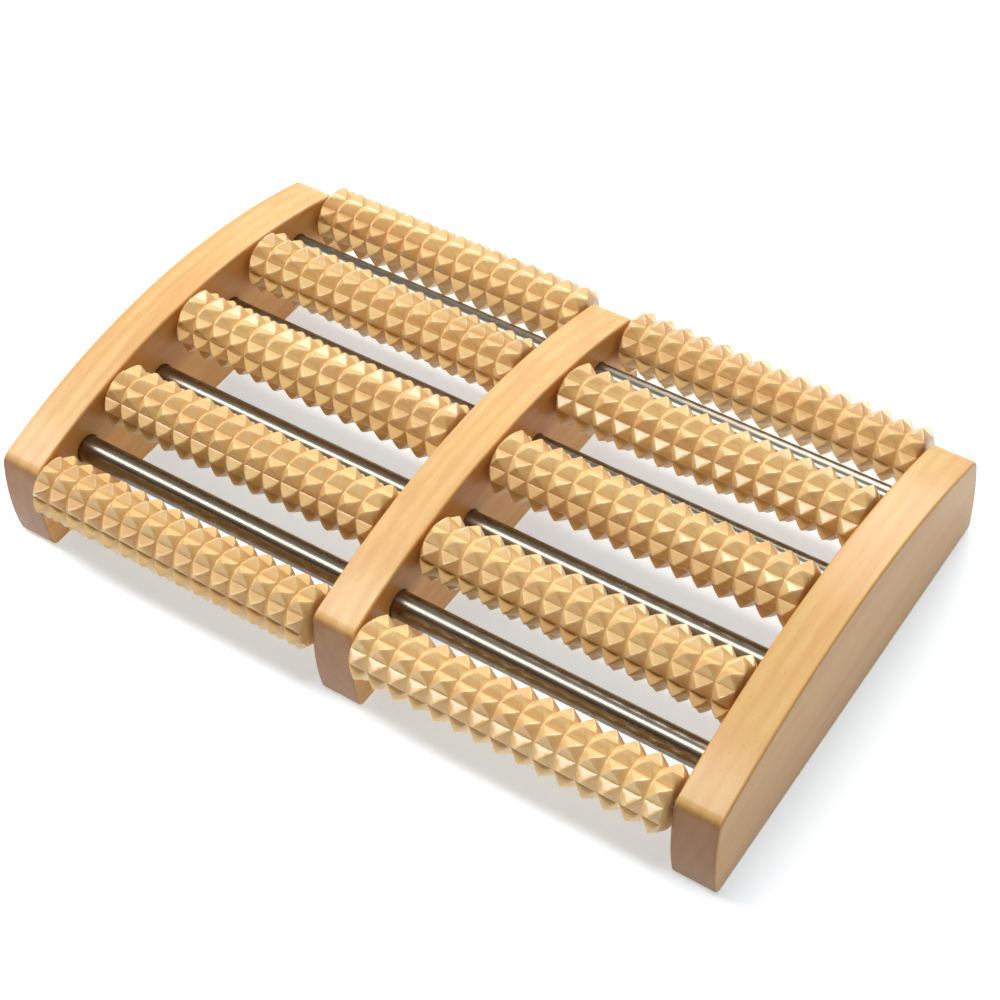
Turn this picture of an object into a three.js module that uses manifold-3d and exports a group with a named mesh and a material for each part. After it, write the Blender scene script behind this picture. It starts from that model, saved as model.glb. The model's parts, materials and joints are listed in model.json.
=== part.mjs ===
// Foot massage roller: three arched wooden rails joined by steel rods, with two
// bays of five studded wooden rollers that spin freely on steel axle pins.
// Millimetres, +X along the rollers, +Y towards the back, +Z up.
// The origin is on the floor, at the middle of the frame.

import * as THREE from 'three';
import { mergeVertices } from 'three/addons/utils/BufferGeometryUtils.js';
import Module from 'manifold-3d';

// ---- Driving dimensions ----------------------------------------------------

const OVERALL_WIDTH = 290;
const FIT_GAP = 0.3;

// Rails
const RAIL_THICKNESS = 16.6;
const RAIL_HEIGHT = 49.8;
const ARCH_RADIUS = 270;
const CREST_HALF_LENGTH = 85.4;
const BULGE_HALF_LENGTH = 89.4;
const FOOT_HALF_LENGTH = 87.2;
const BULGE_HEIGHT = 17;
const CREST_ROUNDING = 3.2;
const FOOT_ROUNDING = 2.2;
const RAIL_CHAMFER = 0.9;
const ARCH_STEPS = 22;

// Rollers
const ROLLERS_PER_BAY = 5;
const ROLLER_PITCH = 40.7;
const ROLLER_HEIGHTS = [29.1, 37.9, 41.2, 37.9, 29.1];
const RINGS = 15;
const RING_PITCH = 7.93;
const STUDS_PER_RING = 9;
const STUD_TIP_RADIUS = 11.9;
const GROOVE_RADIUS = 9.1;
const ROLLER_END_RADIUS = 9.6;
const ROLLER_END_TRIM = 0.8;
// How far each roller is turned at rest, in degrees, from the front to the back
const ROLLER_TURN = {
  left: [8, 26, 1, 11, 0],
  right: [18, 7, 30, 23, 10],
};

// Axle pins, pressed into the roller ends and turning in blind holes in the rails
const PIN_RADIUS = 2;
const PIN_SIDES = 9;
const PIN_DEPTH_IN_ROLLER = 14;
const PIN_HOLE_DEPTH = 6.8;
const PIN_HOLE_SIDES = 12;

// Cross rods, held in blind holes in the rails
const RODS_PER_BAY = 4;
const ROD_RADIUS = 5;
const ROD_HEIGHT = 27.3;
const ROD_SIDES = 20;
const ROD_HOLE_DEPTH = 7;

// Bay layout
const BAY_WIDTH = (OVERALL_WIDTH - 3 * RAIL_THICKNESS) / 2;
const BAY_CENTRE = (BAY_WIDTH + RAIL_THICKNESS) / 2;
const ROLLER_LENGTH = RINGS * RING_PITCH - 2 * ROLLER_END_TRIM;

// ---- Materials -------------------------------------------------------------

const railWood = new THREE.MeshStandardMaterial({
  name: 'rail_wood',
  color: 0xebc185,
  roughness: 0.42,
  metalness: 0,
});
const rollerWood = new THREE.MeshStandardMaterial({
  name: 'roller_wood',
  color: 0xe8bb86,
  roughness: 0.5,
  metalness: 0,
});
const rodSteel = new THREE.MeshStandardMaterial({
  name: 'rod_steel',
  color: 0xc4c1bb,
  roughness: 0.16,
  metalness: 1,
});
const pinSteel = new THREE.MeshStandardMaterial({
  name: 'pin_steel',
  color: 0x9c9b99,
  roughness: 0.35,
  metalness: 1,
});

// ---- Solids of revolution about X ------------------------------------------

// stations: circles of vertices along X, {x, r}, where r = 0 is a single point.
// A station with a tip starts a ring of pyramid studs that reach that radius.
function spunSolid(stations, sides, turnDegrees) {
  const positions = [];
  const triangles = [];
  const step = (2 * Math.PI) / sides;
  const turn = THREE.MathUtils.degToRad(turnDegrees);

  function addPoint(x, radius, angle) {
    positions.push(x, radius * Math.cos(angle), radius * Math.sin(angle));
    return positions.length / 3 - 1;
  }

  function addCircle({ x, r }) {
    if (r === 0) {
      return new Array(sides).fill(addPoint(x, 0, 0));
    }
    return Array.from({ length: sides }, (_, j) => addPoint(x, r, turn + j * step));
  }

  function addCell(a, b, c, d, tip) {
    if (tip !== undefined) {
      triangles.push(a, b, tip, b, c, tip, c, d, tip, d, a, tip);
      return;
    }
    if (a !== b) {
      triangles.push(a, b, c);
    }
    if (c !== d) {
      triangles.push(a, c, d);
    }
  }

  const circles = stations.map(addCircle);
  for (let i = 0; i < stations.length - 1; i += 1) {
    const middle = (stations[i].x + stations[i + 1].x) / 2;
    for (let j = 0; j < sides; j += 1) {
      const next = (j + 1) % sides;
      const tipRadius = stations[i].tip;
      const tip = tipRadius && addPoint(middle, tipRadius, turn + (j + 0.5) * step);
      addCell(circles[i][j], circles[i][next], circles[i + 1][next], circles[i + 1][j], tip);
    }
  }

  const geometry = new THREE.BufferGeometry();
  geometry.setAttribute('position', new THREE.Float32BufferAttribute(positions, 3));
  geometry.setIndex(triangles);
  return geometry;
}

function barGeometry(length, radius, sides, turnDegrees = 0) {
  const half = length / 2;
  const stations = [
    { x: -half, r: 0 },
    { x: -half, r: radius },
    { x: half, r: radius },
    { x: half, r: 0 },
  ];
  return spunSolid(stations, sides, turnDegrees);
}

// A studded roller with a blind axle hole in each end.
function rollerGeometry(turnDegrees) {
  const half = ROLLER_LENGTH / 2;
  const holeRadius = PIN_RADIUS + FIT_GAP;
  const holeBottom = half - PIN_DEPTH_IN_ROLLER - FIT_GAP;
  const stations = [
    { x: -holeBottom, r: 0 },
    { x: -holeBottom, r: holeRadius },
    { x: -half, r: holeRadius },
    { x: -half, r: ROLLER_END_RADIUS, tip: STUD_TIP_RADIUS },
  ];
  for (let k = 1; k < RINGS; k += 1) {
    const x = (k - RINGS / 2) * RING_PITCH;
    stations.push({ x, r: GROOVE_RADIUS, tip: STUD_TIP_RADIUS });
  }
  stations.push(
    { x: half, r: ROLLER_END_RADIUS },
    { x: half, r: holeRadius },
    { x: holeBottom, r: holeRadius },
    { x: holeBottom, r: 0 },
  );
  return spunSolid(stations, STUDS_PER_RING, turnDegrees);
}

// ---- Rails -----------------------------------------------------------------

function archHeight(y) {
  return RAIL_HEIGHT - ARCH_RADIUS + Math.sqrt(ARCH_RADIUS ** 2 - y ** 2);
}

function bezierPoints(start, control, end, steps) {
  const curve = new THREE.QuadraticBezierCurve(
    new THREE.Vector2(...start),
    new THREE.Vector2(...control),
    new THREE.Vector2(...end),
  );
  return curve.getPoints(steps);
}

// One end of the rail's side profile, from the floor up to the arch.
function railEndPoints() {
  const crestHeight = archHeight(CREST_HALF_LENGTH);
  const arch = CREST_HALF_LENGTH - CREST_ROUNDING;
  const footTop = [FOOT_HALF_LENGTH + 0.2, FOOT_ROUNDING];
  const crestBottom = [CREST_HALF_LENGTH + 0.5, crestHeight - CREST_ROUNDING];
  return [
    ...bezierPoints([FOOT_HALF_LENGTH - FOOT_ROUNDING, 0], [FOOT_HALF_LENGTH, 0], footTop, 3),
    ...bezierPoints(footTop, [BULGE_HALF_LENGTH, BULGE_HEIGHT], crestBottom, 6).slice(1),
    ...bezierPoints(crestBottom, [CREST_HALF_LENGTH, crestHeight], [arch, archHeight(arch)], 3).slice(1),
  ];
}

function railProfile() {
  const back = railEndPoints();
  const front = back.map((point) => new THREE.Vector2(-point.x, point.y)).reverse();
  const arch = [];
  const reach = CREST_HALF_LENGTH - CREST_ROUNDING;
  for (let i = 1; i < ARCH_STEPS; i += 1) {
    const y = reach * (1 - (2 * i) / ARCH_STEPS);
    arch.push(new THREE.Vector2(y, archHeight(y)));
  }
  return new THREE.Shape([...back, ...arch, ...front]);
}

const wasm = await Module();
wasm.setup();

function toManifold(geometry) {
  const bare = geometry.clone();
  bare.deleteAttribute('normal');
  bare.deleteAttribute('uv');
  const merged = mergeVertices(bare, 1e-4);
  const mesh = new wasm.Mesh({
    numProp: 3,
    vertProperties: new Float32Array(merged.attributes.position.array),
    triVerts: new Uint32Array(merged.index.array),
  });
  return new wasm.Manifold(mesh);
}

function toGeometry(manifold) {
  const mesh = manifold.getMesh();
  const geometry = new THREE.BufferGeometry();
  geometry.setAttribute('position', new THREE.Float32BufferAttribute(mesh.vertProperties, 3));
  geometry.setIndex(Array.from(mesh.triVerts));
  return geometry;
}

// The rail without holes, its thickness centred on X = 0.
function railBlank() {
  const blank = new THREE.ExtrudeGeometry(railProfile(), {
    depth: RAIL_THICKNESS - 2 * RAIL_CHAMFER,
    bevelEnabled: true,
    bevelThickness: RAIL_CHAMFER,
    bevelSize: RAIL_CHAMFER,
    bevelOffset: -RAIL_CHAMFER,
    bevelSegments: 1,
  });
  blank.translate(0, 0, RAIL_CHAMFER - RAIL_THICKNESS / 2);
  const profileToRow = new THREE.Matrix4().set(
    0, 0, 1, 0,
    1, 0, 0, 0,
    0, 1, 0, 0,
    0, 0, 0, 1,
  );
  return blank.applyMatrix4(profileToRow);
}

// A drill bit centred on X = 0 whose flats clear a shaft by the fit gap.
function drillGeometry(shaftRadius, depth, sides) {
  const radius = (shaftRadius + FIT_GAP) / Math.cos(Math.PI / sides);
  return barGeometry(2 * depth, radius, sides);
}

// side is +1 for the rail's right face and -1 for its left face.
function drillRow(rail, side, drill, holes) {
  let drilled = rail;
  for (const [y, z] of holes) {
    const bit = drill.clone().translate((side * RAIL_THICKNESS) / 2, y, z);
    drilled = drilled.subtract(toManifold(bit));
  }
  return drilled;
}

function railGeometry(drilledSides) {
  const pinDrill = drillGeometry(PIN_RADIUS, PIN_HOLE_DEPTH, PIN_HOLE_SIDES);
  const pinHoles = ROLLER_HEIGHTS.map((z, i) => [rollerY(i), z]);
  const rodDrill = drillGeometry(ROD_RADIUS, ROD_HOLE_DEPTH, ROD_SIDES);
  const rodHoles = Array.from({ length: RODS_PER_BAY }, (_, i) => [rodY(i), ROD_HEIGHT]);
  let rail = toManifold(railBlank());
  for (const side of drilledSides) {
    rail = drillRow(rail, side, pinDrill, pinHoles);
    rail = drillRow(rail, side, rodDrill, rodHoles);
  }
  return toGeometry(rail);
}

function rollerY(i) {
  return (i - (ROLLERS_PER_BAY - 1) / 2) * ROLLER_PITCH;
}

function rodY(i) {
  return (i - (RODS_PER_BAY - 1) / 2) * ROLLER_PITCH;
}

// ---- Assembly --------------------------------------------------------------

function piece(name, geometry, material, x, y, z) {
  const mesh = new THREE.Mesh(geometry, material);
  mesh.name = name;
  mesh.position.set(x, y, z);
  mesh.geometry.computeVertexNormals();
  return mesh;
}

function buildRails() {
  const rails = new THREE.Group();
  rails.name = 'rails';
  const outerX = (OVERALL_WIDTH - RAIL_THICKNESS) / 2;
  rails.add(
    piece('rail_left', railGeometry([1]), railWood, -outerX, 0, 0),
    piece('rail_middle', railGeometry([-1, 1]), railWood, 0, 0, 0),
    piece('rail_right', railGeometry([-1]), railWood, outerX, 0, 0),
  );
  return rails;
}

function buildRods(bay) {
  const length = BAY_WIDTH + 2 * (ROD_HOLE_DEPTH - FIT_GAP);
  const rods = [];
  for (let i = 0; i < RODS_PER_BAY; i += 1) {
    const bar = barGeometry(length, ROD_RADIUS, ROD_SIDES);
    rods.push(piece(`rod_${bay}_${i + 1}`, bar, rodSteel, 0, rodY(i), ROD_HEIGHT));
  }
  return rods;
}

function buildRoller(bay, i) {
  const pinLength = PIN_DEPTH_IN_ROLLER + (BAY_WIDTH - ROLLER_LENGTH) / 2 + PIN_HOLE_DEPTH - FIT_GAP;
  const pinX = ROLLER_LENGTH / 2 - PIN_DEPTH_IN_ROLLER + pinLength / 2;
  const y = rollerY(i);
  const z = ROLLER_HEIGHTS[i];
  const label = `${bay}_${i + 1}`;
  const turn = ROLLER_TURN[bay][i];
  const pin = barGeometry(pinLength, PIN_RADIUS, PIN_SIDES, turn);
  return [
    piece(`roller_${label}`, rollerGeometry(turn), rollerWood, 0, y, z),
    piece(`axle_pin_${label}_west`, pin, pinSteel, -pinX, y, z),
    piece(`axle_pin_${label}_east`, pin.clone(), pinSteel, pinX, y, z),
  ];
}

function buildBay(bay, x) {
  const group = new THREE.Group();
  group.name = `bay_${bay}`;
  group.position.x = x;
  group.add(...buildRods(bay));
  for (let i = 0; i < ROLLERS_PER_BAY; i += 1) {
    group.add(...buildRoller(bay, i));
  }
  return group;
}

const footRoller = new THREE.Group();
footRoller.name = 'foot_massage_roller';
footRoller.add(
  buildRails(),
  buildBay('left', -BAY_CENTRE),
  buildBay('right', BAY_CENTRE),
);

export default footRoller;
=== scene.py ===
"""Foot massage roller: arched wooden rails, polished steel rods and two bays of
free-spinning studded rollers, on a white floor under soft studio light.

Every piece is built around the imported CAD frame, in metres: +X runs along the
rollers, +Y to the back and +Z up.
"""

import json
import math
import random

import bmesh
import bpy
from mathutils import Matrix, Vector


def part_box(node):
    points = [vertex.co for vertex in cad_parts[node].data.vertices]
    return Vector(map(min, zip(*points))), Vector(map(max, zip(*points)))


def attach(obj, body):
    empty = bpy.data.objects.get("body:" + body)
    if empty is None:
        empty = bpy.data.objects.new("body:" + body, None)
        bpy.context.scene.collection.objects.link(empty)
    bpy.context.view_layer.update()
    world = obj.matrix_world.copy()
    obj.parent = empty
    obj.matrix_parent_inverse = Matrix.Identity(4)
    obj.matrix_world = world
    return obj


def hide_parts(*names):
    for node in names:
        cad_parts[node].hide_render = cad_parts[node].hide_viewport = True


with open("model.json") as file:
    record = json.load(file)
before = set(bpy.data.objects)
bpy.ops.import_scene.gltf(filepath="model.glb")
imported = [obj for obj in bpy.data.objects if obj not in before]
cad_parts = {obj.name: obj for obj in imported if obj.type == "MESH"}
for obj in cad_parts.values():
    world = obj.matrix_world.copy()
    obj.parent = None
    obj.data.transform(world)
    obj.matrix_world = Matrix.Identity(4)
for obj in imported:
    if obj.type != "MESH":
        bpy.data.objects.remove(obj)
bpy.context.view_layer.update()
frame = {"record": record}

MM = 0.001
BAYS = ("left", "right")
SIDES = ("left", "middle", "right")
SEED = 7
FIRST_RAIL_SEED = 11
RAIL_SEED_STEP = 5
# Ranges that the rollers' and the steel's seeds are drawn from
ROLLER_SEEDS = (20, 900)
STEEL_SEEDS = (1, 90)

# Rail side profile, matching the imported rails
ARCH_RADIUS = 270 * MM
CREST_HALF_LENGTH = 85.4 * MM
BULGE_HALF_LENGTH = 89.4 * MM
FOOT_HALF_LENGTH = 87.2 * MM
BULGE_HEIGHT = 17 * MM
CREST_ROUNDING = 3.2 * MM
FOOT_ROUNDING = 2.2 * MM
RAIL_EDGE_RADIUS = 1.1 * MM
RAIL_EDGE_STEPS = 4
FOOT_STEPS = 6
END_STEPS = 18
CREST_STEPS = 8
ARCH_STEPS = 72
# How far the end has leaned out where the foot's and the crest's roundings meet it
FOOT_LEAN = 0.2 * MM
CREST_LEAN = 0.5 * MM
RAIL_SHARP_DEGREES = 32

# Blind holes for the rods and the axle pins
HOLE_GAP = 0.15 * MM
HOLE_LIP = 0.35 * MM
HOLE_SIDES = 64

# Rods and axle pins
ROD_SIDES = 96
ROD_EASING = 0.5 * MM
PIN_SIDES = 48
PIN_EASING = 0.3 * MM
BAR_SHARP_DEGREES = 40

# Rollers
ROLLERS_PER_BAY = 5
RODS_PER_BAY = 4
RINGS = 15
RING_PITCH = 7.93 * MM
STUDS_PER_RING = 9
STUD_TIP_RADIUS = 11.9 * MM
NOTCH_RADIUS = 9.2 * MM
# The saw line along the bottom of each lengthwise notch
KERF_DEPTH = 0.15 * MM
RING_GROOVE_RADIUS = 8.8 * MM
# Where a ring's flank meets the groove's floor, as a share of half the ring pitch
GROOVE_START = 0.95
# 1 turns straight-sided rings, 2 turns round beads. The left bay looks rounder in the
# photo, though the real rollers may all be alike
RING_FULLNESS = {"left": 1.7, "right": 1.3}
# How much higher the facets would meet if the stud's ridge weren't worn down
RIDGE_WEAR = 0.4 * MM
# Vertices along a stud facet, from its tip at 0 to its notch at 1. The first pair
# is the worn ridge and the last pair is the saw line
FACET_SHARES = (0, 0.1, 0.4, 0.7, 0.97, 1)
# Vertices across a ring, as shares of the way from the crest to the facet's edge,
# then from that edge to the groove. The gap between the two eases the edge
TOP_SHARES = (0, 0.5, 0.9)
FLANK_SHARES = (0.1, 0.5, 1)
# Half the width that a stud's tip is worn to, as a share of half the ring pitch
TIP_REACH = 0.05
BORE_GAP = 0.12 * MM
ROLLER_SHARP_DEGREES = 48
# How far each roller is turned at rest, in degrees, from the front to the back. Read
# from the photo
ROLLER_TURN = {
    "left": (8, 26, 1, 11, 0),
    "right": (18, 7, 30, 23, 10),
}


# ---- Mesh helpers ----------------------------------------------------------


def new_object(name, mesh, material):
    mesh.materials.append(material)
    obj = bpy.data.objects.new(name, mesh)
    bpy.context.collection.objects.link(obj)
    return obj


def mesh_from(name, vertices, faces):
    mesh = bpy.data.meshes.new(name)
    mesh.from_pydata(vertices, [], faces)
    mesh.update()
    return mesh


def bake_modifiers(obj):
    """Replace obj's mesh with the result of its modifiers."""
    depsgraph = bpy.context.evaluated_depsgraph_get()
    baked = bpy.data.meshes.new_from_object(obj.evaluated_get(depsgraph))
    old = obj.data
    obj.modifiers.clear()
    obj.data = baked
    bpy.data.meshes.remove(old)


def shade(obj, sharp_degrees):
    """Smooth shading that stays flat across large faces."""
    obj.data.shade_smooth()
    obj.data.set_sharp_from_angle(angle=math.radians(sharp_degrees))
    weighted = obj.modifiers.new("weighted", "WEIGHTED_NORMAL")
    weighted.keep_sharp = True


def spun_mesh(name, stations, sides, centre):
    """A closed solid about the X axis from (x, radius) stations; radius 0 closes it."""
    bm = bmesh.new()
    circles = []
    for x, radius in stations:
        if radius == 0:
            circles.append([bm.verts.new(centre + Vector((x, 0, 0)))])
            continue
        circle = []
        for j in range(sides):
            angle = 2 * math.pi * j / sides
            offset = Vector((x, radius * math.cos(angle), radius * math.sin(angle)))
            circle.append(bm.verts.new(centre + offset))
        circles.append(circle)
    for a, b in zip(circles, circles[1:]):
        for j in range(sides):
            k = (j + 1) % sides
            corners = [a[j % len(a)], a[k % len(a)], b[k % len(b)], b[j % len(b)]]
            bm.faces.new(dict.fromkeys(corners))
    bmesh.ops.recalc_face_normals(bm, faces=bm.faces)
    mesh = bpy.data.meshes.new(name)
    bm.to_mesh(mesh)
    bm.free()
    return mesh


# ---- Shader helpers --------------------------------------------------------


class Shader:
    """A thin wrapper that adds and links nodes of one material."""

    def __init__(self, name):
        self.material = bpy.data.materials.new(name)
        self.material.use_nodes = True
        self.tree = self.material.node_tree
        self.tree.nodes.clear()
        self.output = self.add("ShaderNodeOutputMaterial")
        self.surface = self.add("ShaderNodeBsdfPrincipled")
        self.link(self.surface.outputs[0], self.output.inputs["Surface"])

    def add(self, kind, **settings):
        node = self.tree.nodes.new(kind)
        for key, value in settings.items():
            setattr(node, key, value)
        return node

    def link(self, source, target):
        self.tree.links.new(source, target)

    def feed(self, socket, value):
        """Link another node's output to a socket, or set a plain value on it."""
        if isinstance(value, bpy.types.NodeSocket):
            self.link(value, socket)
        else:
            socket.default_value = value

    def place(self, scale=(1, 1, 1), offset=(0, 0, 0)):
        """The piece's own coordinates, scaled and moved."""
        coordinates = self.add("ShaderNodeTexCoord")
        mapping = self.add("ShaderNodeMapping")
        self.link(coordinates.outputs["Object"], mapping.inputs["Vector"])
        mapping.inputs["Scale"].default_value = scale
        mapping.inputs["Location"].default_value = offset
        return mapping.outputs["Vector"]

    def noise(self, vector, scale, detail=2.0, roughness=0.5):
        node = self.add("ShaderNodeTexNoise")
        self.link(vector, node.inputs["Vector"])
        node.inputs["Scale"].default_value = scale
        node.inputs["Detail"].default_value = detail
        node.inputs["Roughness"].default_value = roughness
        return node.outputs["Fac"]

    def math(self, operation, a, b=0.0):
        node = self.add("ShaderNodeMath", operation=operation)
        self.feed(node.inputs[0], a)
        self.feed(node.inputs[1], b)
        return node.outputs[0]

    def spread(self, value, low, high, to_low=0.0, to_high=1.0):
        """Ease a value's range from low to high onto to_low to to_high."""
        node = self.add("ShaderNodeMapRange", interpolation_type="SMOOTHSTEP")
        self.link(value, node.inputs["Value"])
        node.inputs["From Min"].default_value = low
        node.inputs["From Max"].default_value = high
        node.inputs["To Min"].default_value = to_low
        node.inputs["To Max"].default_value = to_high
        return node.outputs["Result"]

    def ramp(self, value, stops):
        node = self.add("ShaderNodeValToRGB")
        self.link(value, node.inputs["Fac"])
        elements = node.color_ramp.elements
        while len(elements) < len(stops):
            elements.new(0.5)
        for element, (position, colour) in zip(elements, stops):
            element.position = position
            element.color = (*colour, 1)
        return node.outputs["Color"]

    def mix(self, factor, a, b, blend="MIX"):
        node = self.add("ShaderNodeMix", data_type="RGBA", blend_type=blend)
        self.feed(node.inputs["Factor"], factor)
        self.feed(node.inputs["A"], a)
        self.feed(node.inputs["B"], b)
        return node.outputs["Result"]

    def bump(self, height, distance, strength):
        node = self.add("ShaderNodeBump")
        node.inputs["Strength"].default_value = strength
        node.inputs["Distance"].default_value = distance
        self.link(height, node.inputs["Height"])
        return node.outputs["Normal"]

    def set(self, **values):
        """Feed the surface's sockets, named with _ for each space."""
        for key, value in values.items():
            self.feed(self.surface.inputs[key.replace("_", " ")], value)


# ---- Wood ------------------------------------------------------------------

# Linear colours, each a light, a middle and a dark tone
RAIL_TONES = ((0.91, 0.61, 0.28), (0.86, 0.53, 0.21), (0.77, 0.42, 0.14))
ROLLER_TONES = ((0.95, 0.69, 0.33), (0.91, 0.61, 0.26), (0.80, 0.47, 0.17))
# How far a piece's tones may stray from the others'
RAIL_VARIATION = 0.02
ROLLER_VARIATION = 0.05
# Matched to the photo, where the right rail looks darker. The tint is painted shade, as the right
# rail stands furthest from the light
RAIL_PAINTED_SHADE = {"left": (1, 1, 1), "middle": (1, 1, 1), "right": (0.86, 0.84, 0.70)}
MOTTLE_COLOUR = (0.74, 0.38, 0.15)
# Matched to the photo, where the rails' ends look darker and browner
# Partly real end grain, which takes the lacquer darker, and partly painted shade on ends that face
# away from the light
END_GRAIN_AND_PAINTED_SHADE = (0.44, 0.31, 0.25)
# Matched to the photo, where a rail's flat sides look browner than its top
# Painted shade: the flat sides are darkened and browned, as the light falls mostly on the top
RAIL_SIDE_PAINTED_SHADE = (0.88, 0.75, 0.54)
# How far the grain may run off the board's length, in radians
GRAIN_TILT = 0.04
# How much each set of grain coordinates is drawn out along the grain
SLOW_STRETCH = 0.12
FINE_STRETCH = 0.03
# Noise scales, from slow clouds of colour to single pores
CLOUD_SCALE = 22
PATCH_SCALE = 150
STREAK_SCALE = 240
FIBRE_SCALE = 1500
PORE_SCALE = 2600
RING_WAVER = 5.5
# A pattern's low and high, and how strongly a tone covers the figure at each
STREAKS_TO_DARK = (0.42, 0.72, 0.0, 0.75)
CLOUDS_TO_LIGHT = (0.35, 0.6, 0.45, 0.0)
CLOUDS_TO_DARK = (0.5, 0.78, 0.0, 0.7)
FIBRES_TO_LIGHT = (0.3, 0.7, 0.0, 0.25)
PORE_RANGE = (0.62, 0.72)
PATCH_RANGE = (0.42, 0.68)
# From barely to squarely facing along an axis
FACING_RANGE = (0.5, 0.95)
EVENING_OUT = 0.45
PORE_DARKNESS = 0.5
PORE_STRENGTH = 0.22
PORE_DEPTH = 0.6
WOOD_SPECULAR = 0.35
GRAIN_BUMP = 0.02 * MM
LACQUER_BUMP = 0.2 * MM
RAIL_FINISH = {
    "pith": 0.07,
    "ring_scale": 60,
    "gloss": 0.4,
    "coat": 0.22,
    "coat_roughness": 0.18,
    "mottle": 0.5,
    # How strongly the ends darken, from end grain and painted shade
    "end_grain_and_shade": 0.95,
    "painted_side_shade": RAIL_SIDE_PAINTED_SHADE,
}
ROLLER_FINISH = {
    "pith": 0.03,
    "ring_scale": 80,
    "gloss": 0.32,
    "coat": 0.55,
    "coat_roughness": 0.08,
    "mottle": 0.42,
    "end_grain_and_shade": 0.15,
}
GRAIN_TO_Z = {
    "x": (0, math.radians(-90), 0),
    "y": (math.radians(90), 0, 0),
}


def grain_space(shader, axis, seed, pith, stretch):
    """Coordinates with Z along the grain and the tree's heart at distance pith."""
    rng = random.Random(seed)
    coordinates = shader.add("ShaderNodeTexCoord")
    turn = shader.add("ShaderNodeMapping", vector_type="POINT")
    shader.link(coordinates.outputs["Object"], turn.inputs["Vector"])
    turn.inputs["Rotation"].default_value = GRAIN_TO_Z[axis]
    tilt = shader.add("ShaderNodeMapping", vector_type="POINT")
    shader.link(turn.outputs["Vector"], tilt.inputs["Vector"])
    bearing = rng.uniform(0, 2 * math.pi)
    tilt.inputs["Location"].default_value = (
        pith * math.cos(bearing),
        pith * math.sin(bearing),
        rng.uniform(-1, 1),
    )
    tilt.inputs["Rotation"].default_value = (
        rng.uniform(-GRAIN_TILT, GRAIN_TILT),
        rng.uniform(-GRAIN_TILT, GRAIN_TILT),
        0,
    )
    tilt.inputs["Scale"].default_value = (1, 1, stretch)
    return tilt.outputs["Vector"]


def facing(shader, axis):
    """How squarely the surface faces along an axis of the piece, from 0 to 1."""
    coordinates = shader.add("ShaderNodeTexCoord")
    split = shader.add("ShaderNodeSeparateXYZ")
    shader.link(coordinates.outputs["Normal"], split.inputs[0])
    return shader.math("ABSOLUTE", split.outputs[axis.upper()])


def growth_rings(shader, vector, scale):
    """Wavering bands round the tree's heart."""
    rings = shader.add("ShaderNodeTexWave", wave_type="RINGS", rings_direction="Z")
    rings.wave_profile = "SIN"
    shader.link(vector, rings.inputs["Vector"])
    rings.inputs["Scale"].default_value = scale
    rings.inputs["Distortion"].default_value = RING_WAVER
    rings.inputs["Detail"].default_value = 3.0
    rings.inputs["Detail Scale"].default_value = 0.3
    rings.inputs["Detail Roughness"].default_value = 0.6
    return rings.outputs["Fac"]


def wood(name, axis, seed, tones, pith, ring_scale, gloss, coat, coat_roughness, mottle,
         end_grain_and_shade, painted_side_shade=(1, 1, 1)):
    """Lacquered pale wood. tones are its light, middle and dark linear colours."""
    light, middle, dark = tones
    shader = Shader(name)
    slow = grain_space(shader, axis, seed, pith, SLOW_STRETCH)
    fine = grain_space(shader, axis, seed + 1, pith, FINE_STRETCH)
    fibres = shader.noise(fine, FIBRE_SCALE, detail=3, roughness=0.65)
    streaks = shader.noise(fine, STREAK_SCALE, detail=4, roughness=0.7)
    clouds = shader.noise(slow, CLOUD_SCALE, detail=3, roughness=0.55)
    pores = shader.spread(shader.noise(fine, PORE_SCALE, detail=1), *PORE_RANGE)
    patches = shader.noise(slow, PATCH_SCALE, detail=2, roughness=0.6)

    # The figure, from the growth rings up to the pores
    rings = growth_rings(shader, slow, ring_scale)
    figure = shader.ramp(rings, [(0.0, light), (0.6, middle), (1.0, dark)])
    figure = shader.mix(EVENING_OUT, figure, (*middle, 1))
    figure = shader.mix(shader.spread(streaks, *STREAKS_TO_DARK), figure, (*dark, 1))
    figure = shader.mix(shader.spread(clouds, *CLOUDS_TO_LIGHT), figure, (*light, 1))
    figure = shader.mix(shader.spread(clouds, *CLOUDS_TO_DARK), figure, (*dark, 1))
    figure = shader.mix(shader.spread(fibres, *FIBRES_TO_LIGHT), figure, (*light, 1))
    pore_colour = tuple(PORE_DARKNESS * c for c in dark)
    figure = shader.mix(shader.math("MULTIPLY", pores, PORE_STRENGTH), figure, (*pore_colour, 1))
    patches = shader.spread(patches, *PATCH_RANGE, 0.0, mottle)
    figure = shader.mix(patches, figure, (*MOTTLE_COLOUR, 1))

    # Tints for the end grain, partly painted shade, and painted shade on a rail's flat sides
    end_grain_and_shade_mask = shader.spread(facing(shader, axis), *FACING_RANGE, 0.0, end_grain_and_shade)
    figure = shader.mix(end_grain_and_shade_mask, figure, (*END_GRAIN_AND_PAINTED_SHADE, 1), blend="MULTIPLY")
    sides = shader.spread(facing(shader, "x"), *FACING_RANGE)
    figure = shader.mix(sides, figure, (*painted_side_shade, 1), blend="MULTIPLY")

    height = shader.math("SUBTRACT", fibres, shader.math("MULTIPLY", pores, PORE_DEPTH))
    normal = shader.bump(height, GRAIN_BUMP, 0.5)
    roughness = shader.spread(fibres, 0.2, 0.8, gloss - 0.04, gloss + 0.1)
    shader.set(Base_Color=figure, Roughness=roughness, Normal=normal)
    shader.set(Coat_Weight=coat, Coat_Roughness=coat_roughness)
    shader.set(Specular_IOR_Level=WOOD_SPECULAR)
    shader.set(Coat_Normal=shader.bump(clouds, LACQUER_BUMP, 0.2))
    return shader.material


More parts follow.
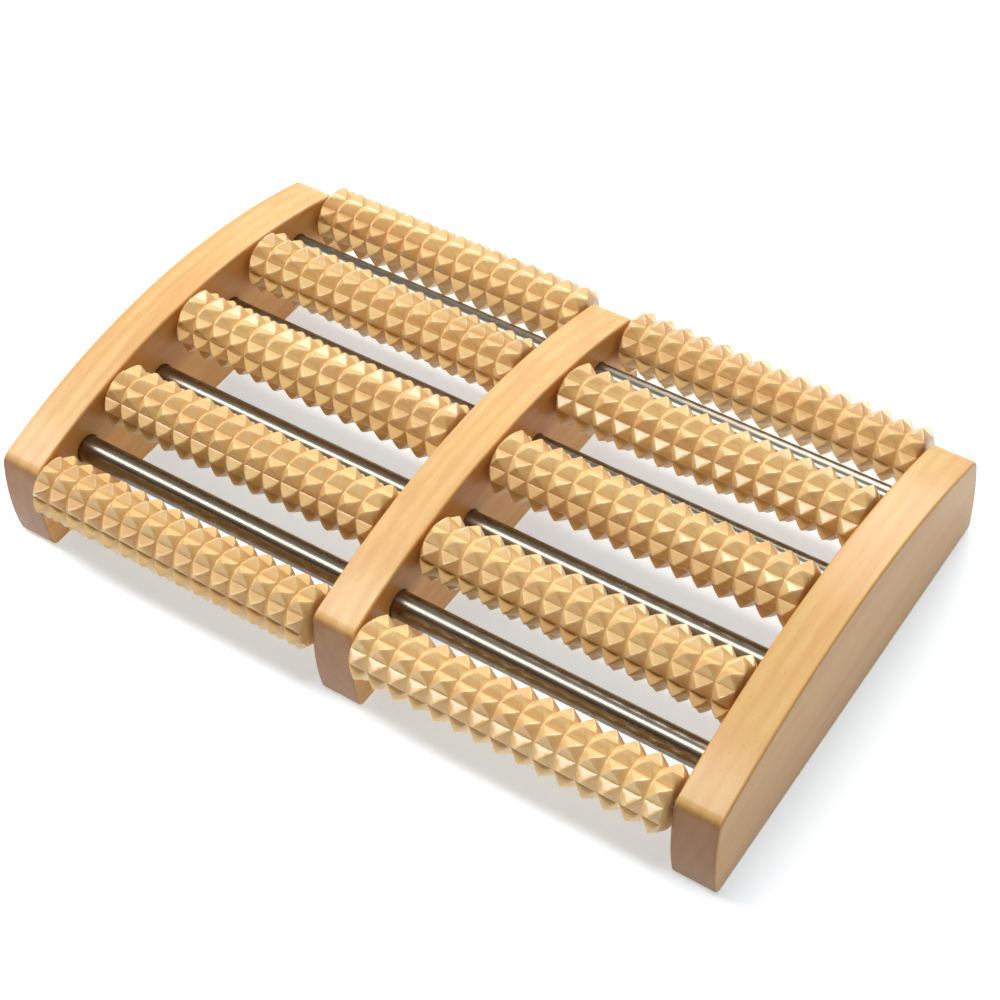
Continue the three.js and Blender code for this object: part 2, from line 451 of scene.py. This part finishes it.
def toned(tones, rng, amount):
    """The tones, all a little lighter or darker, and a little warmer or cooler."""
    shift = 1 + rng.uniform(-amount, amount)
    warmth = 1 + rng.uniform(-amount, amount) / 2
    return tuple((r * shift, g * shift, b * shift * warmth) for r, g, b in tones)


def tinted(tones, tint):
    """The tones, each multiplied by a tint."""
    return tuple(tuple(c * t for c, t in zip(tone, tint)) for tone in tones)


# ---- Steel -----------------------------------------------------------------


# Darker than bare steel, to match how dark the rods look in the photo
# The dark brown is a painted reflection of the dim room and the wood around the rods
ROD_STEEL_WITH_PAINTED_REFLECTION = (0.28, 0.245, 0.195)
ROD_ROUGHNESS = 0.27
PIN_COLOUR = (0.45, 0.44, 0.43)
PIN_ROUGHNESS = 0.26
# How much rougher the steel is where it is smudged or pitted
SMUDGE_ROUGHNESS = 0.05
PIT_ROUGHNESS = 0.1
SMUDGE_TINT = 0.86
# Noise scales, and how much the drawn lines are stretched along X
DRAWN_SCALE = 2200
PIT_SCALE = 1300
SMUDGE_SCALE = 55
DRAWN_STRETCH = 0.02
DRAWN_BUMP = 0.004 * MM
# How far each seed moves the pattern
SEED_OFFSET = (0.37, 0.11, 0.23)


def steel(name, colour, roughness, seed):
    """Metal drawn along X, with faint lengthwise lines, smudges and tiny pits."""
    shader = Shader(name)
    offset = tuple(seed * step for step in SEED_OFFSET)
    along = shader.place(scale=(DRAWN_STRETCH, 1, 1), offset=offset)
    drawn = shader.noise(along, DRAWN_SCALE, detail=2)
    smudges = shader.noise(shader.place(offset=offset), SMUDGE_SCALE, detail=4, roughness=0.6)
    pits = shader.spread(shader.noise(shader.place(offset=offset), PIT_SCALE), 0.7, 0.78)
    tint = shader.mix(
        shader.spread(smudges, 0.4, 0.8, 0.0, 0.4),
        (*colour, 1),
        (*(SMUDGE_TINT * c for c in colour), 1),
    )
    smudged = shader.spread(smudges, 0.4, 0.75, roughness, roughness + SMUDGE_ROUGHNESS)
    pitted = shader.math("MULTIPLY", pits, PIT_ROUGHNESS)
    rough = shader.math("ADD", smudged, pitted)
    shader.set(Base_Color=tint, Roughness=rough, Metallic=1.0)
    shader.set(Normal=shader.bump(drawn, DRAWN_BUMP, 0.35))
    return shader.material


# ---- Rails -----------------------------------------------------------------


def arch_height(height, y):
    """The arch's height at y, on a rail of this height."""
    return height - ARCH_RADIUS + math.sqrt(ARCH_RADIUS**2 - y**2)


def bezier(start, control, end, steps):
    """Points along a curve from start to end that leans towards control."""
    points = []
    for i in range(steps + 1):
        t = i / steps
        a, b, c = (1 - t) ** 2, 2 * t * (1 - t), t * t
        points.append(tuple(a * s + b * m + c * e for s, m, e in zip(start, control, end)))
    return points


def rail_profile(height):
    """The side outline as (y, z), anticlockwise from the foot of the back end."""
    crest_height = arch_height(height, CREST_HALF_LENGTH)
    arch_half = CREST_HALF_LENGTH - CREST_ROUNDING
    foot_top = (FOOT_HALF_LENGTH + FOOT_LEAN, FOOT_ROUNDING)
    crest_bottom = (CREST_HALF_LENGTH + CREST_LEAN, crest_height - CREST_ROUNDING)
    arch_end = (arch_half, arch_height(height, arch_half))
    foot_bottom = (FOOT_HALF_LENGTH - FOOT_ROUNDING, 0)
    back = bezier(foot_bottom, (FOOT_HALF_LENGTH, 0), foot_top, FOOT_STEPS)
    back += bezier(foot_top, (BULGE_HALF_LENGTH, BULGE_HEIGHT), crest_bottom, END_STEPS)[1:]
    back += bezier(crest_bottom, (CREST_HALF_LENGTH, crest_height), arch_end, CREST_STEPS)[1:]
    arch = []
    for i in range(1, ARCH_STEPS):
        y = arch_half * (1 - 2 * i / ARCH_STEPS)
        arch.append((y, arch_height(height, y)))
    front = [(-y, z) for y, z in reversed(back)]
    return back + arch + front


def inset_profile(profile, inset):
    """The outline moved inwards, along the bisector at each corner."""
    moved = []
    count = len(profile)
    for i, (y, z) in enumerate(profile):
        before, after = profile[i - 1], profile[(i + 1) % count]
        tangent = Vector((after[0] - before[0], after[1] - before[1])).normalized()
        moved.append((y - tangent.y * inset, z + tangent.x * inset))
    return moved


def rail_mesh(name, low, high):
    """A flat board with the arched outline and rounded long edges."""
    half = (high.x - low.x) / 2
    centre = (high.x + low.x) / 2
    profile = rail_profile(high.z)
    layers = []
    for i in range(RAIL_EDGE_STEPS + 1):
        angle = math.pi / 2 * (1 - i / RAIL_EDGE_STEPS)
        x = half - RAIL_EDGE_RADIUS * (1 - math.sin(angle))
        layers.append((x, RAIL_EDGE_RADIUS * (1 - math.cos(angle))))
    layers += [(-x, inset) for x, inset in reversed(layers)]
    vertices = []
    for x, inset in layers:
        vertices += [(centre + x, y, z) for y, z in inset_profile(profile, inset)]
    count = len(profile)
    faces = [list(range(count))]
    for layer in range(len(layers) - 1):
        base = layer * count
        for i in range(count):
            j = (i + 1) % count
            faces.append([base + j, base + i, base + count + i, base + count + j])
    last = (len(layers) - 1) * count
    faces.append([last + i for i in reversed(range(count))])
    return mesh_from(name, vertices, faces)


def bars_in_rails():
    """The nodes of every rod and axle pin, all of which end in a rail."""
    for bay in BAYS:
        for i in range(1, RODS_PER_BAY + 1):
            yield f"rod_{bay}_{i}"
        for i in range(1, ROLLERS_PER_BAY + 1):
            for end in ("west", "east"):
                yield f"axle_pin_{bay}_{i}_{end}"


def bar_radius(low, high):
    """The radius of the round bar that a faceted bar's box stands for."""
    return max(high.y - low.y, high.z - low.z) / 2


def hole_cutters(side):
    """One drill per bar that ends in this rail, a little wider at its mouth."""
    low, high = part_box(f"rail_{side}")
    cutters = []
    for node in bars_in_rails():
        bar_low, bar_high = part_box(node)
        if bar_high.x < low.x or bar_low.x > high.x:
            continue
        radius = bar_radius(bar_low, bar_high) + HOLE_GAP
        centre = (bar_low + bar_high) / 2
        inward = 1 if centre.x < (low.x + high.x) / 2 else -1
        mouth = low.x if inward > 0 else high.x
        depth = (bar_high.x - low.x if inward > 0 else high.x - bar_low.x) + HOLE_GAP
        stations = [
            (-inward * HOLE_LIP, 0),
            (-inward * HOLE_LIP, radius + 2 * HOLE_LIP),
            (inward * HOLE_LIP, radius),
            (inward * depth, radius),
            (inward * depth, 0),
        ]
        place = Vector((mouth, centre.y, centre.z))
        cutters.append(spun_mesh("cutter", stations, HOLE_SIDES, place))
    return cutters


def build_rail(side, material):
    """One rail with its blind holes drilled."""
    low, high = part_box(f"rail_{side}")
    rail = new_object(f"arched_rail_{side}", rail_mesh(f"arched_rail_{side}", low, high), material)
    holders = []
    for mesh in hole_cutters(side):
        holder = bpy.data.objects.new("cutter", mesh)
        bpy.context.collection.objects.link(holder)
        cut = rail.modifiers.new("hole", "BOOLEAN")
        cut.operation = "DIFFERENCE"
        cut.solver = "EXACT"
        cut.object = holder
        holders.append(holder)
    bake_modifiers(rail)
    for holder in holders:
        bpy.data.objects.remove(holder)
    shade(rail, RAIL_SHARP_DEGREES)
    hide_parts(f"rail_{side}")
    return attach(rail, "frame")


# ---- Rods and axle pins ----------------------------------------------------


def build_bar(name, node, body, material, sides, edge):
    """A round bar with eased ends in place of a faceted one."""
    low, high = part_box(node)
    centre = (low + high) / 2
    half = (high.x - low.x) / 2
    radius = bar_radius(low, high)
    stations = [
        (-half, 0),
        (-half, radius - edge),
        (-half + edge, radius),
        (half - edge, radius),
        (half, radius - edge),
        (half, 0),
    ]
    bar = new_object(name, spun_mesh(name, stations, sides, centre), material)
    shade(bar, BAR_SHARP_DEGREES)
    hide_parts(node)
    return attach(bar, body)


# ---- Rollers ---------------------------------------------------------------


def ring_radius(u, fullness):
    """The turned ring's radius at u, from 0 on its crest to 1 midway to the next ring."""
    slope = min(u / GROOVE_START, 1) ** fullness
    return STUD_TIP_RADIUS - (STUD_TIP_RADIUS - RING_GROOVE_RADIUS) * slope


def crest_reach(radius, fullness):
    """How far from its crest the turned ring has come down to this radius."""
    drop = max(STUD_TIP_RADIUS - radius, 0) / (STUD_TIP_RADIUS - RING_GROOVE_RADIUS)
    return GROOVE_START * drop ** (1 / fullness)


def facet_radius(share):
    """The radius of the flat facet between a stud's tip and its notch."""
    if share == 0:
        return STUD_TIP_RADIUS
    if share == 1:
        return NOTCH_RADIUS - KERF_DEPTH
    half_step = math.pi / STUDS_PER_RING
    angle = share * half_step
    tip, notch = STUD_TIP_RADIUS + RIDGE_WEAR, NOTCH_RADIUS
    reach = tip * math.sin(angle) + notch * math.sin(half_step - angle)
    return tip * notch * math.sin(half_step) / reach


def stud_section():
    """(angle, facet radius) over one stud, from its first notch up to the next."""
    half_step = math.pi / STUDS_PER_RING
    after = [(share * half_step, facet_radius(share)) for share in FACET_SHARES]
    before = [(-angle, radius) for angle, radius in reversed(after[1:])]
    return before + after[:-1]


def ring_rows(radius, fullness):
    """(u, radius) from the crest to the groove, where a facet has cut to radius."""
    edge = max(crest_reach(radius, fullness), TIP_REACH)
    rows = [(share * edge, radius) for share in TOP_SHARES]
    for share in FLANK_SHARES:
        u = edge + share * (GROOVE_START - edge)
        rows.append((u, ring_radius(u, fullness)))
    return rows


def stud_rings(bm, centre, half, turn, fullness):
    """Turned rings with V grooves between them, notched lengthwise into studs.

    Returns the circle of vertices at each end.
    """
    step = 2 * math.pi / STUDS_PER_RING
    around = [
        (turn + (j + 0.5) * step + angle, ring_rows(radius, fullness))
        for j in range(STUDS_PER_RING)
        for angle, radius in stud_section()
    ]
    last_row = len(TOP_SHARES) + len(FLANK_SHARES) - 1
    circles = []

    def add_circle(crest, scale, row):
        circle = []
        for angle, rows in around:
            u, radius = rows[row]
            offset = Vector((crest + scale * u, radius * math.cos(angle), radius * math.sin(angle)))
            circle.append(bm.verts.new(centre + offset))
        circles.append(circle)

    for k in range(RINGS):
        crest = (k + 0.5 - RINGS / 2) * RING_PITCH
        to_end = (half - abs(crest)) / GROOVE_START
        before = to_end if k == 0 else RING_PITCH / 2
        after = to_end if k == RINGS - 1 else RING_PITCH / 2
        for row in range(last_row, 0, -1):
            add_circle(crest, -before, row)
        for row in range(last_row + 1):
            add_circle(crest, after, row)
    for a, b in zip(circles, circles[1:]):
        for i in range(len(around)):
            n = (i + 1) % len(around)
            bm.faces.new((a[i], b[i], b[n], a[n]))
    return circles[0], circles[-1]


def bored_end(bm, rim, centre, x, bottom, radius):
    """Closes a roller's end with a flat face and a blind bore for its axle pin."""
    mouth, floor = [], []
    for corner in rim:
        across = corner.co - centre
        across.x = 0
        across.length = radius
        mouth.append(bm.verts.new(centre + across + Vector((x, 0, 0))))
        floor.append(bm.verts.new(centre + across + Vector((bottom, 0, 0))))
    for j in range(len(rim)):
        n = (j + 1) % len(rim)
        bm.faces.new((rim[j], rim[n], mouth[n], mouth[j]))
        bm.faces.new((mouth[j], mouth[n], floor[n], floor[j]))
    bm.faces.new(floor)


def build_roller(bay, i, material):
    """One studded roller with a bore in each end."""
    node = f"roller_{bay}_{i}"
    low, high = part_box(node)
    pin_low, pin_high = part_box(f"axle_pin_{bay}_{i}_east")
    half = (high.x - low.x) / 2
    centre = Vector(((low.x + high.x) / 2, *axis_of(bay, i)))
    turn = math.radians(ROLLER_TURN[bay][i - 1])
    bore = bar_radius(pin_low, pin_high) + BORE_GAP
    bottom = pin_low.x - centre.x - BORE_GAP

    bm = bmesh.new()
    west, east = stud_rings(bm, centre, half, turn, RING_FULLNESS[bay])
    bored_end(bm, west, centre, -half, -bottom, bore)
    bored_end(bm, east, centre, half, bottom, bore)
    bmesh.ops.recalc_face_normals(bm, faces=bm.faces)
    mesh = bpy.data.meshes.new(f"studded_{node}")
    bm.to_mesh(mesh)
    bm.free()

    roller = new_object(f"studded_{node}", mesh, material)
    shade(roller, ROLLER_SHARP_DEGREES)
    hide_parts(node)
    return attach(roller, f"spinner_{bay}_{i}")


def axis_of(bay, i):
    """The Y and Z of a roller's axle, from the joint it turns on."""
    for joint in frame["record"]["behaviour"]["joints"]:
        if joint["name"] == f"spin_{bay}_{i}":
            return joint["pos_m"][1:]
    raise ValueError(f"no joint for roller {bay} {i}")


# ---- The massager ----------------------------------------------------------


def build_massager():
    """All 41 pieces. Each random draw keeps its place in the order."""
    rng = random.Random(SEED)
    for index, side in enumerate(SIDES):
        # The right rail's tones are darkened by painted shade
        tones = tinted(toned(RAIL_TONES, rng, RAIL_VARIATION), RAIL_PAINTED_SHADE[side])
        seed = FIRST_RAIL_SEED + RAIL_SEED_STEP * index
        build_rail(side, wood(f"rail_wood_{side}", "y", seed, tones, **RAIL_FINISH))
    for bay in BAYS:
        for i in range(1, RODS_PER_BAY + 1):
            seed = rng.randint(*STEEL_SEEDS)
            # The rods' steel colour carries a painted reflection of their dark surroundings
            metal = steel(f"rod_steel_{bay}_{i}", ROD_STEEL_WITH_PAINTED_REFLECTION, ROD_ROUGHNESS, seed)
            build_bar(f"polished_rod_{bay}_{i}", f"rod_{bay}_{i}", "frame", metal,
                      ROD_SIDES, ROD_EASING)
        for i in range(1, ROLLERS_PER_BAY + 1):
            tones = toned(ROLLER_TONES, rng, ROLLER_VARIATION)
            seed = rng.randint(*ROLLER_SEEDS)
            finish = wood(f"roller_wood_{bay}_{i}", "x", seed, tones, **ROLLER_FINISH)
            build_roller(bay, i, finish)
            seed = rng.randint(*STEEL_SEEDS)
            metal = steel(f"pin_steel_{bay}_{i}", PIN_COLOUR, PIN_ROUGHNESS, seed)
            for end in ("west", "east"):
                build_bar(f"turned_pin_{bay}_{i}_{end}", f"axle_pin_{bay}_{i}_{end}",
                          f"spinner_{bay}_{i}", metal, PIN_SIDES, PIN_EASING)


# ---- Studio ----------------------------------------------------------------

CAMERA_POSITION = Vector((0.3159, -0.3879, 0.5782))
CAMERA_TARGET = Vector((0.0135, 0.0117, 0.0))
CAMERA_ROLL = math.radians(-4.75)
CAMERA_LENS = 77.4
CAMERA_SENSOR = 36
CAMERA_NEAR_CLIP = 0.01
CAMERA_SHIFT = (-0.0385, 0.0204)
# The floor glows a little and coolly, so that the shadows on it stay pale
FLOOR_GLOW = 0.5
FLOOR_GLOW_COLOUR = (0.79, 0.92, 1.0)
FLOOR_REACH = 14.0
FLOOR_DROP = 0.2 * MM
# The room is dim and brown to the front right, and lighter and cooler to the back left
WORLD_BRIGHT_SIDE = (-0.5, 0.85, 0.1)
WORLD_DIM = (0.045, 0.031, 0.018)
WORLD_BRIGHT = (0.30, 0.33, 0.36)
WORLD_RAMP_END = 0.6
# What the camera sees above the horizon in place of the room
BACKDROP = (0.86, 0.87, 0.88)
OVERHEAD_LIGHT = {"position": (-1.3, -0.22, 2.0), "size": (3.6, 0.42), "power": 54}
BACK_LIGHT = {"position": (-0.2, 1.6, 1.3), "size": (0.9, 1.1), "power": 22, "aim": (0, 0, 0)}


def build_camera():
    data = bpy.data.cameras.new("camera")
    data.sensor_width = CAMERA_SENSOR
    data.lens = CAMERA_LENS
    data.shift_x, data.shift_y = CAMERA_SHIFT
    data.clip_start = CAMERA_NEAR_CLIP
    camera = bpy.data.objects.new("camera", data)
    bpy.context.collection.objects.link(camera)
    look = (CAMERA_TARGET - CAMERA_POSITION).to_track_quat("-Z", "Y").to_matrix().to_4x4()
    camera.matrix_world = (
        Matrix.Translation(CAMERA_POSITION) @ look @ Matrix.Rotation(CAMERA_ROLL, 4, "Z")
    )
    bpy.context.scene.camera = camera


def area_light(name, position, size, power, aim=None):
    """A white rectangular softbox that points straight down, or at aim."""
    data = bpy.data.lights.new(name, "AREA")
    data.shape = "RECTANGLE"
    data.size, data.size_y = size
    data.energy = power
    lamp = bpy.data.objects.new(name, data)
    bpy.context.collection.objects.link(lamp)
    lamp.location = position
    if aim is not None:
        direction = Vector(aim) - Vector(position)
        lamp.rotation_euler = direction.to_track_quat("-Z", "Y").to_euler()


def build_floor():
    shader = Shader("floor_white")
    mottle = shader.noise(shader.place(), 3, detail=2)
    shade_of_white = shader.ramp(mottle, [(0.3, (0.81, 0.81, 0.81)), (0.7, (0.83, 0.83, 0.83))])
    shader.set(Base_Color=shade_of_white, Roughness=0.8, Specular_IOR_Level=0.2)
    shader.set(Emission_Color=(*FLOOR_GLOW_COLOUR, 1), Emission_Strength=FLOOR_GLOW)
    corners = [
        (-FLOOR_REACH, -FLOOR_REACH, 0),
        (FLOOR_REACH, -FLOOR_REACH, 0),
        (FLOOR_REACH, FLOOR_REACH, 0),
        (-FLOOR_REACH, FLOOR_REACH, 0),
    ]
    mesh = mesh_from("floor", corners, [(0, 1, 2, 3)])
    floor = new_object("floor", mesh, shader.material)
    floor.location.z = -FLOOR_DROP


def build_world():
    """A dim room that lights the massager, in front of a plain pale backdrop."""
    world = bpy.data.worlds.new("studio")
    bpy.context.scene.world = world
    world.use_nodes = True
    nodes, links = world.node_tree.nodes, world.node_tree.links
    direction = nodes.new("ShaderNodeTexCoord")
    towards = nodes.new("ShaderNodeVectorMath")
    towards.operation = "DOT_PRODUCT"
    towards.inputs[1].default_value = WORLD_BRIGHT_SIDE
    ramp = nodes.new("ShaderNodeValToRGB")
    ramp.color_ramp.elements[0].color = (*WORLD_DIM, 1)
    ramp.color_ramp.elements[1].color = (*WORLD_BRIGHT, 1)
    ramp.color_ramp.elements[1].position = WORLD_RAMP_END
    links.new(direction.outputs["Generated"], towards.inputs[0])
    links.new(towards.outputs["Value"], ramp.inputs["Fac"])
    backdrop = nodes.new("ShaderNodeMix")
    backdrop.data_type = "RGBA"
    backdrop.inputs["B"].default_value = (*BACKDROP, 1)
    rays = nodes.new("ShaderNodeLightPath")
    links.new(rays.outputs["Is Camera Ray"], backdrop.inputs["Factor"])
    links.new(ramp.outputs["Color"], backdrop.inputs["A"])
    links.new(backdrop.outputs["Result"], nodes["Background"].inputs["Color"])


def build_studio():
    build_world()
    area_light("overhead", **OVERHEAD_LIGHT)
    area_light("back", **BACK_LIGHT)
    bpy.context.scene.view_settings.view_transform = "Standard"


build_massager()
build_floor()
build_studio()
build_camera()
